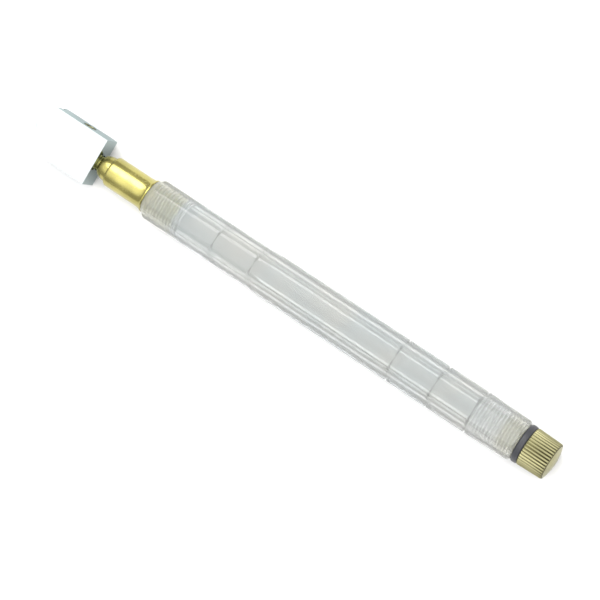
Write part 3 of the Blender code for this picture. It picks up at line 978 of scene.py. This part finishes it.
class CUTTER_OT_head(bpy.types.Operator):
    """Make the wide plated head with its wheel slot and bores, and its side screw"""

    bl_idname = "cutter.head"
    bl_label = "Make Head"

    def execute(self, context):
        sizes = context.scene.cutter_head
        colours = context.scene.cutter_colours
        half = mm(sizes.width) / 2
        thick = mm(sizes.thickness) / 2
        shape = bmesh.new()
        rim = [shape.verts.new((x, y, -thick)) for x, y in head_outline(sizes)]
        face = shape.faces.new(rim)
        raised = bmesh.ops.extrude_face_region(shape, geom=[face])["geom"]
        moved = [item for item in raised if isinstance(item, bmesh.types.BMVert)]
        bmesh.ops.translate(shape, verts=moved, vec=(0, 0, 2 * thick))
        bmesh.ops.recalc_face_normals(shape, faces=shape.faces)
        wheel_place = (WHEEL_FRONT + WHEEL_REAR) / 2
        behind = WHEEL_REAR + 0.5
        slot = mm(sizes.slot) / 2
        screw_place = HEAD_REAR - mm(sizes.screw_place)
        neck = mm(context.scene.cutter_brass.neck) + 0.2
        cutters = [
            box_shape((HEAD_TIP - 1, -half - 1, -slot), (behind, half + 1, slot)),
            rod(neck, STEM_FRONT - 0.4, HEAD_REAR + 1, "X"),
            rod(mm(sizes.screw) + 0.15, 0, half + 1, "Y", (screw_place, 0, 0), 48),
        ]
        hole = rod(mm(sizes.axle) + 0.02, -thick - 1, thick + 1, "Z", (wheel_place, 0, 0), 48)
        block = cut_and_round(shape, cutters, mm(sizes.edge), crisp=[hole])
        finish_piece(
            "plated_head", block, HEAD, "head",
            plated(colours), "head_block",
            sharp=math.radians(40),
        )
        outer = half - 0.35
        radius = mm(sizes.screw)
        slot_cut = box_shape(
            (screw_place - 0.3, outer - 0.8, -radius - 1), (screw_place + 0.3, outer + 1, radius + 1)
        )
        screw = rod(radius, neck + 0.1, outer, "Y", (screw_place, 0, 0))
        screw = cut_and_round(screw, [slot_cut], 0.12, 2)
        finish_piece(
            "side_screw", screw, HEAD, "head",
            polished_brass(colours), "head_screw",
            sharp=math.radians(40),
        )
        return {"FINISHED"}


class CUTTER_OT_wheel(bpy.types.Operator):
    """Make the cutting wheel and the pin it runs on"""

    bl_idname = "cutter.wheel"
    bl_label = "Make Wheel"

    def execute(self, context):
        sizes = context.scene.cutter_head
        colours = context.scene.cutter_colours
        place = (WHEEL_FRONT + WHEEL_REAR) / 2
        radius = (WHEEL_REAR - WHEEL_FRONT) / 2
        half = mm(sizes.wheel) / 2
        hole = mm(sizes.axle) + 0.1
        shoulder = radius - 0.2
        outline = [(-half, shoulder), (-0.01, radius - 0.002), (0.01, radius - 0.002)]
        outline += [(half, shoulder), (half, hole + 0.1), (half - 0.1, hole)]
        outline += [(-half + 0.1, hole), (-half, hole + 0.1)]
        upright = HEAD @ Matrix.Translation((place, 0, 0)) @ Matrix.Rotation(-math.pi / 2, 4, "Y")
        finish_piece(
            "carbide_wheel", turn(outline), upright, "wheel",
            ground_metal("Carbide", colours.carbide, 0.20), "cutting_wheel",
            sharp=math.radians(20),
        )
        pin = mm(sizes.axle)
        end = mm(sizes.thickness) / 2 - 0.02
        outline = [(-end, 0.0), (-end, pin - 0.02), (-end + 0.02, pin)]
        outline += [(end - 0.02, pin), (end, pin - 0.02), (end, 0.0)]
        finish_piece(
            "wheel_pin", turn(outline, SMALL_STEPS, closed=False), upright, "head",
            ground_metal("Pin Steel", colours.steel, 0.18), "wheel_axle",
            sharp=math.radians(25),
        )
        return {"FINISHED"}


class CUTTER_OT_cap(bpy.types.Operator):
    """Make the knurled filler cap with its threaded stem, and the rubber ring below it"""

    bl_idname = "cutter.cap"
    bl_label = "Make Cap"

    def execute(self, context):
        sizes = context.scene.cutter_cap
        barrel = context.scene.cutter_barrel
        colours = context.scene.cutter_colours
        radius = mm(sizes.radius)
        end_radius = mm(sizes.end_radius)
        knurl_end = CAP_FACE + mm(sizes.knurl)
        root = mm(barrel.bore) - mm(barrel.thread_gap)
        step = mm(barrel.pitch) / ROWS_PER_PITCH
        start = CAP_FACE + 0.35
        slope = (end_radius - radius) / (knurl_end - start)
        outline = [(CAP_STEM_END, 0.0), (CAP_STEM_END, root - 0.1)]
        outline += rows(CAP_STEM_END + 0.15, RING_FRONT - 0.6, step, lambda x: root)
        outline += [(RING_FRONT, root), (CAP_FACE, root), (CAP_FACE, radius - 0.35)]
        outline += arc((CAP_FACE, radius - 0.35), (start, radius), "radius", 4)[1:]
        outline += rows(start + 0.1, knurl_end - 0.25, 0.5, lambda x: radius + slope * (x - start))
        outline += arc((knurl_end - 0.2, end_radius), (knurl_end + 0.35, 0.93 * end_radius), "along", 6)
        outline += [
            (knurl_end + 0.62, 0.80 * end_radius),
            (knurl_end + 0.88, 0.58 * end_radius),
            (CAP_END - 0.15, 0.40 * end_radius),
            (CAP_END - 0.04, 0.20 * end_radius),
            (CAP_END, 0.0),
        ]
        shape = turn(outline, 8 * sizes.ribs, closed=False)
        cut_thread(
            shape,
            CAP_STEM_END + 0.1,
            RING_FRONT - 0.5,
            root,
            mm(barrel.thread_depth),
            mm(barrel.pitch),
            root,
            (0.6, 0.6),
        )
        cut_knurl(shape, sizes, knurl_end)
        finish_piece(
            "knurled_cap", shape, TOOL, "cap",
            dull_brass(colours, sizes), "filler_cap",
            sharp=math.radians(50),
            soft=lambda spot: spot.x < RING_FRONT - 0.5 and off_axis(spot) > 3.32,
        )
        outer = mm(sizes.ring)
        inner = root + mm(barrel.thread_depth) + 0.1
        low, high = RING_FRONT - 0.08, RING_REAR + 0.08
        soft = 0.55
        ring = [(low, inner + 0.2), (low + 0.2, inner), (high - 0.2, inner), (high, inner + 0.2)]
        ring += arc((high, outer - soft), (high - soft, outer - 0.02), "radius", 6)
        ring += [((low + high) / 2, outer)]
        ring += arc((low + soft, outer - 0.02), (low, outer - soft), "along", 6)
        finish_piece(
            "cap_seal_ring", turn(ring), TOOL, "cap_seal",
            black_rubber(colours), "cap_o_ring",
            sharp=math.radians(40),
        )
        return {"FINISHED"}


def cut_knurl(shape, sizes, knurl_end):
    """Press straight grooves between rounded ribs into the cap's side."""
    depth = mm(sizes.rib_depth)
    for vert in shape.verts:
        radius = off_axis(vert.co)
        if vert.co.x < CAP_FACE + 0.05 or radius < mm(sizes.end_radius) - 0.75:
            continue
        phase = math.atan2(vert.co.z, vert.co.y) / (2 * math.pi) * sizes.ribs % 1.0
        groove = abs(2 * phase - 1) ** 1.7
        shallow = 1 - ramp(vert.co.x, knurl_end - 0.1, knurl_end + 0.35)
        goal = radius - depth * groove * shallow
        vert.co.y *= goal / radius
        vert.co.z *= goal / radius


class CUTTER_OT_inner_works(bpy.types.Operator):
    """Wind the spring, and give the washer and valve inside the nose their finishes"""

    bl_idname = "cutter.inner_works"
    bl_label = "Finish Inner Works"

    def execute(self, context):
        colours = context.scene.cutter_colours
        steel = ground_metal("Spring Steel", colours.steel, 0.22)
        sizes = context.scene.cutter_brass
        wire = mm(sizes.spring_wire)
        mean = mm(sizes.spring_radius)
        front, rear = along("feed_spring")
        spring = finish_piece(
            "coil_spring", coil(wire, mean, front + wire, rear - wire, sizes.spring_turns),
            TOOL, "handle", steel, "feed_spring",
        )
        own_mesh(spring)
        finishes = {
            "thrust_washer": steel,
            "valve_nut": polished_brass(colours),
            "valve_o_ring": black_rubber(colours),
        }
        for node, material in finishes.items():
            mesh = frame["nodes"][node].data
            mesh.materials.clear()
            mesh.materials.append(material)
        return {"FINISHED"}


# Stage -----------------------------------------------------------------------------------------


def add_softbox(power):
    """A rectangular soft light above the tool, aimed at its middle."""
    lamp = bpy.data.lights.new("Softbox", "AREA")
    lamp.shape = "RECTANGLE"
    lamp.size, lamp.size_y = SOFTBOX_SIZE
    lamp.energy = power
    item = bpy.data.objects.new("Softbox", lamp)
    item.location = SOFTBOX_PLACE
    item.rotation_euler = (-Vector(SOFTBOX_PLACE)).to_track_quat("-Z", "Y").to_euler()
    bpy.context.scene.collection.objects.link(item)


def surroundings(stage):
    """A white sky, bright overhead and dimmer towards the horizon."""
    world = bpy.data.worlds.new("Surroundings")
    world.use_nodes = True
    graph = Graph(world.node_tree)
    way = graph.add("ShaderNodeTexCoord").outputs["Generated"]
    height = graph.add("ShaderNodeSeparateXYZ", {"Vector": way}).outputs["Z"]
    strength = graph.between(height, *SKY_HEIGHTS, stage.horizon, stage.zenith)
    sky = world.node_tree.nodes["Background"]
    sky.inputs["Color"].default_value = (1.0, 1.0, 1.0, 1.0)
    graph.plug(strength, sky.inputs["Strength"])
    return world


def add_camera(stage):
    """A long lens over the tool, leaning towards the cap, turned so that the head is upper left."""
    lean, aside = stage.tilt, stage.side_lean
    back = Vector(
        (math.sin(lean) * math.cos(aside), math.sin(aside), math.cos(lean) * math.cos(aside))
    )
    tool_way = Vector((1, 0, 0))
    tool_way = (tool_way - back * tool_way.dot(back)).normalized()
    across = back.cross(tool_way)
    right = tool_way * math.cos(stage.turn) + across * math.sin(stage.turn)
    up = across * math.cos(stage.turn) - tool_way * math.sin(stage.turn)
    low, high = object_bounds()
    middle = Vector(((low[0] + high[0]) / 2, 0, AXIS_HEIGHT))
    aim = middle + right * stage.aim_right - up * stage.aim_down
    turned = Matrix((right, up, back)).transposed().to_4x4()
    data = bpy.data.cameras.new("Camera")
    data.lens = stage.lens
    data.clip_start = 0.01
    camera = bpy.data.objects.new("Camera", data)
    camera.matrix_world = Matrix.Translation(aim + back * stage.distance) @ turned
    bpy.context.scene.collection.objects.link(camera)
    bpy.context.scene.camera = camera


class CUTTER_OT_stage(bpy.types.Operator):
    """Set out the white floor, the soft light, the sky and the camera"""

    bl_idname = "cutter.stage"
    bl_label = "Set Stage"

    def execute(self, context):
        stage = context.scene.cutter_stage
        shape = bmesh.new()
        bmesh.ops.create_grid(shape, x_segments=8, y_segments=8, size=FLOOR_HALF)
        bmesh.ops.translate(shape, verts=shape.verts, vec=(0, 0, -FLOOR_DROP))
        floor = as_object("floor", shape)
        floor.data.materials.append(white_floor(context.scene.cutter_colours))
        floor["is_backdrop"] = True
        context.scene.world = surroundings(stage)
        add_softbox(stage.key)
        context.scene.view_settings.view_transform = "Standard"
        add_camera(stage)
        return {"FINISHED"}


class CUTTER_PT_panel(bpy.types.Panel):
    """The cutter's sizes, finishes and makers"""

    bl_idname = "CUTTER_PT_panel"
    bl_label = "Glass Cutter"
    bl_space_type = "VIEW_3D"
    bl_region_type = "UI"
    bl_category = "Glass Cutter"

    def draw(self, context):
        for name, kind in SETTINGS.items():
            box = self.layout.box()
            box.label(text=kind.__doc__)
            for field in kind.__annotations__:
                box.prop(getattr(context.scene, name), field)
        for operator in OPERATORS:
            self.layout.operator(operator.bl_idname)


OPERATORS = (
    CUTTER_OT_barrel,
    CUTTER_OT_nose,
    CUTTER_OT_stem,
    CUTTER_OT_head,
    CUTTER_OT_wheel,
    CUTTER_OT_cap,
    CUTTER_OT_inner_works,
    CUTTER_OT_stage,
)


def register():
    for kind in (*SETTINGS.values(), *OPERATORS, CUTTER_PT_panel):
        bpy.utils.register_class(kind)
    for name, kind in SETTINGS.items():
        setattr(bpy.types.Scene, name, PointerProperty(type=kind))


def unregister():
    for name in SETTINGS:
        delattr(bpy.types.Scene, name)
    for kind in reversed((*SETTINGS.values(), *OPERATORS, CUTTER_PT_panel)):
        bpy.utils.unregister_class(kind)


def main():
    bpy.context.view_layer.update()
    register()
    for operator in OPERATORS:
        group_name, action = operator.bl_idname.split(".")
        getattr(getattr(bpy.ops, group_name), action)()


if __name__ == "__main__":
    main()
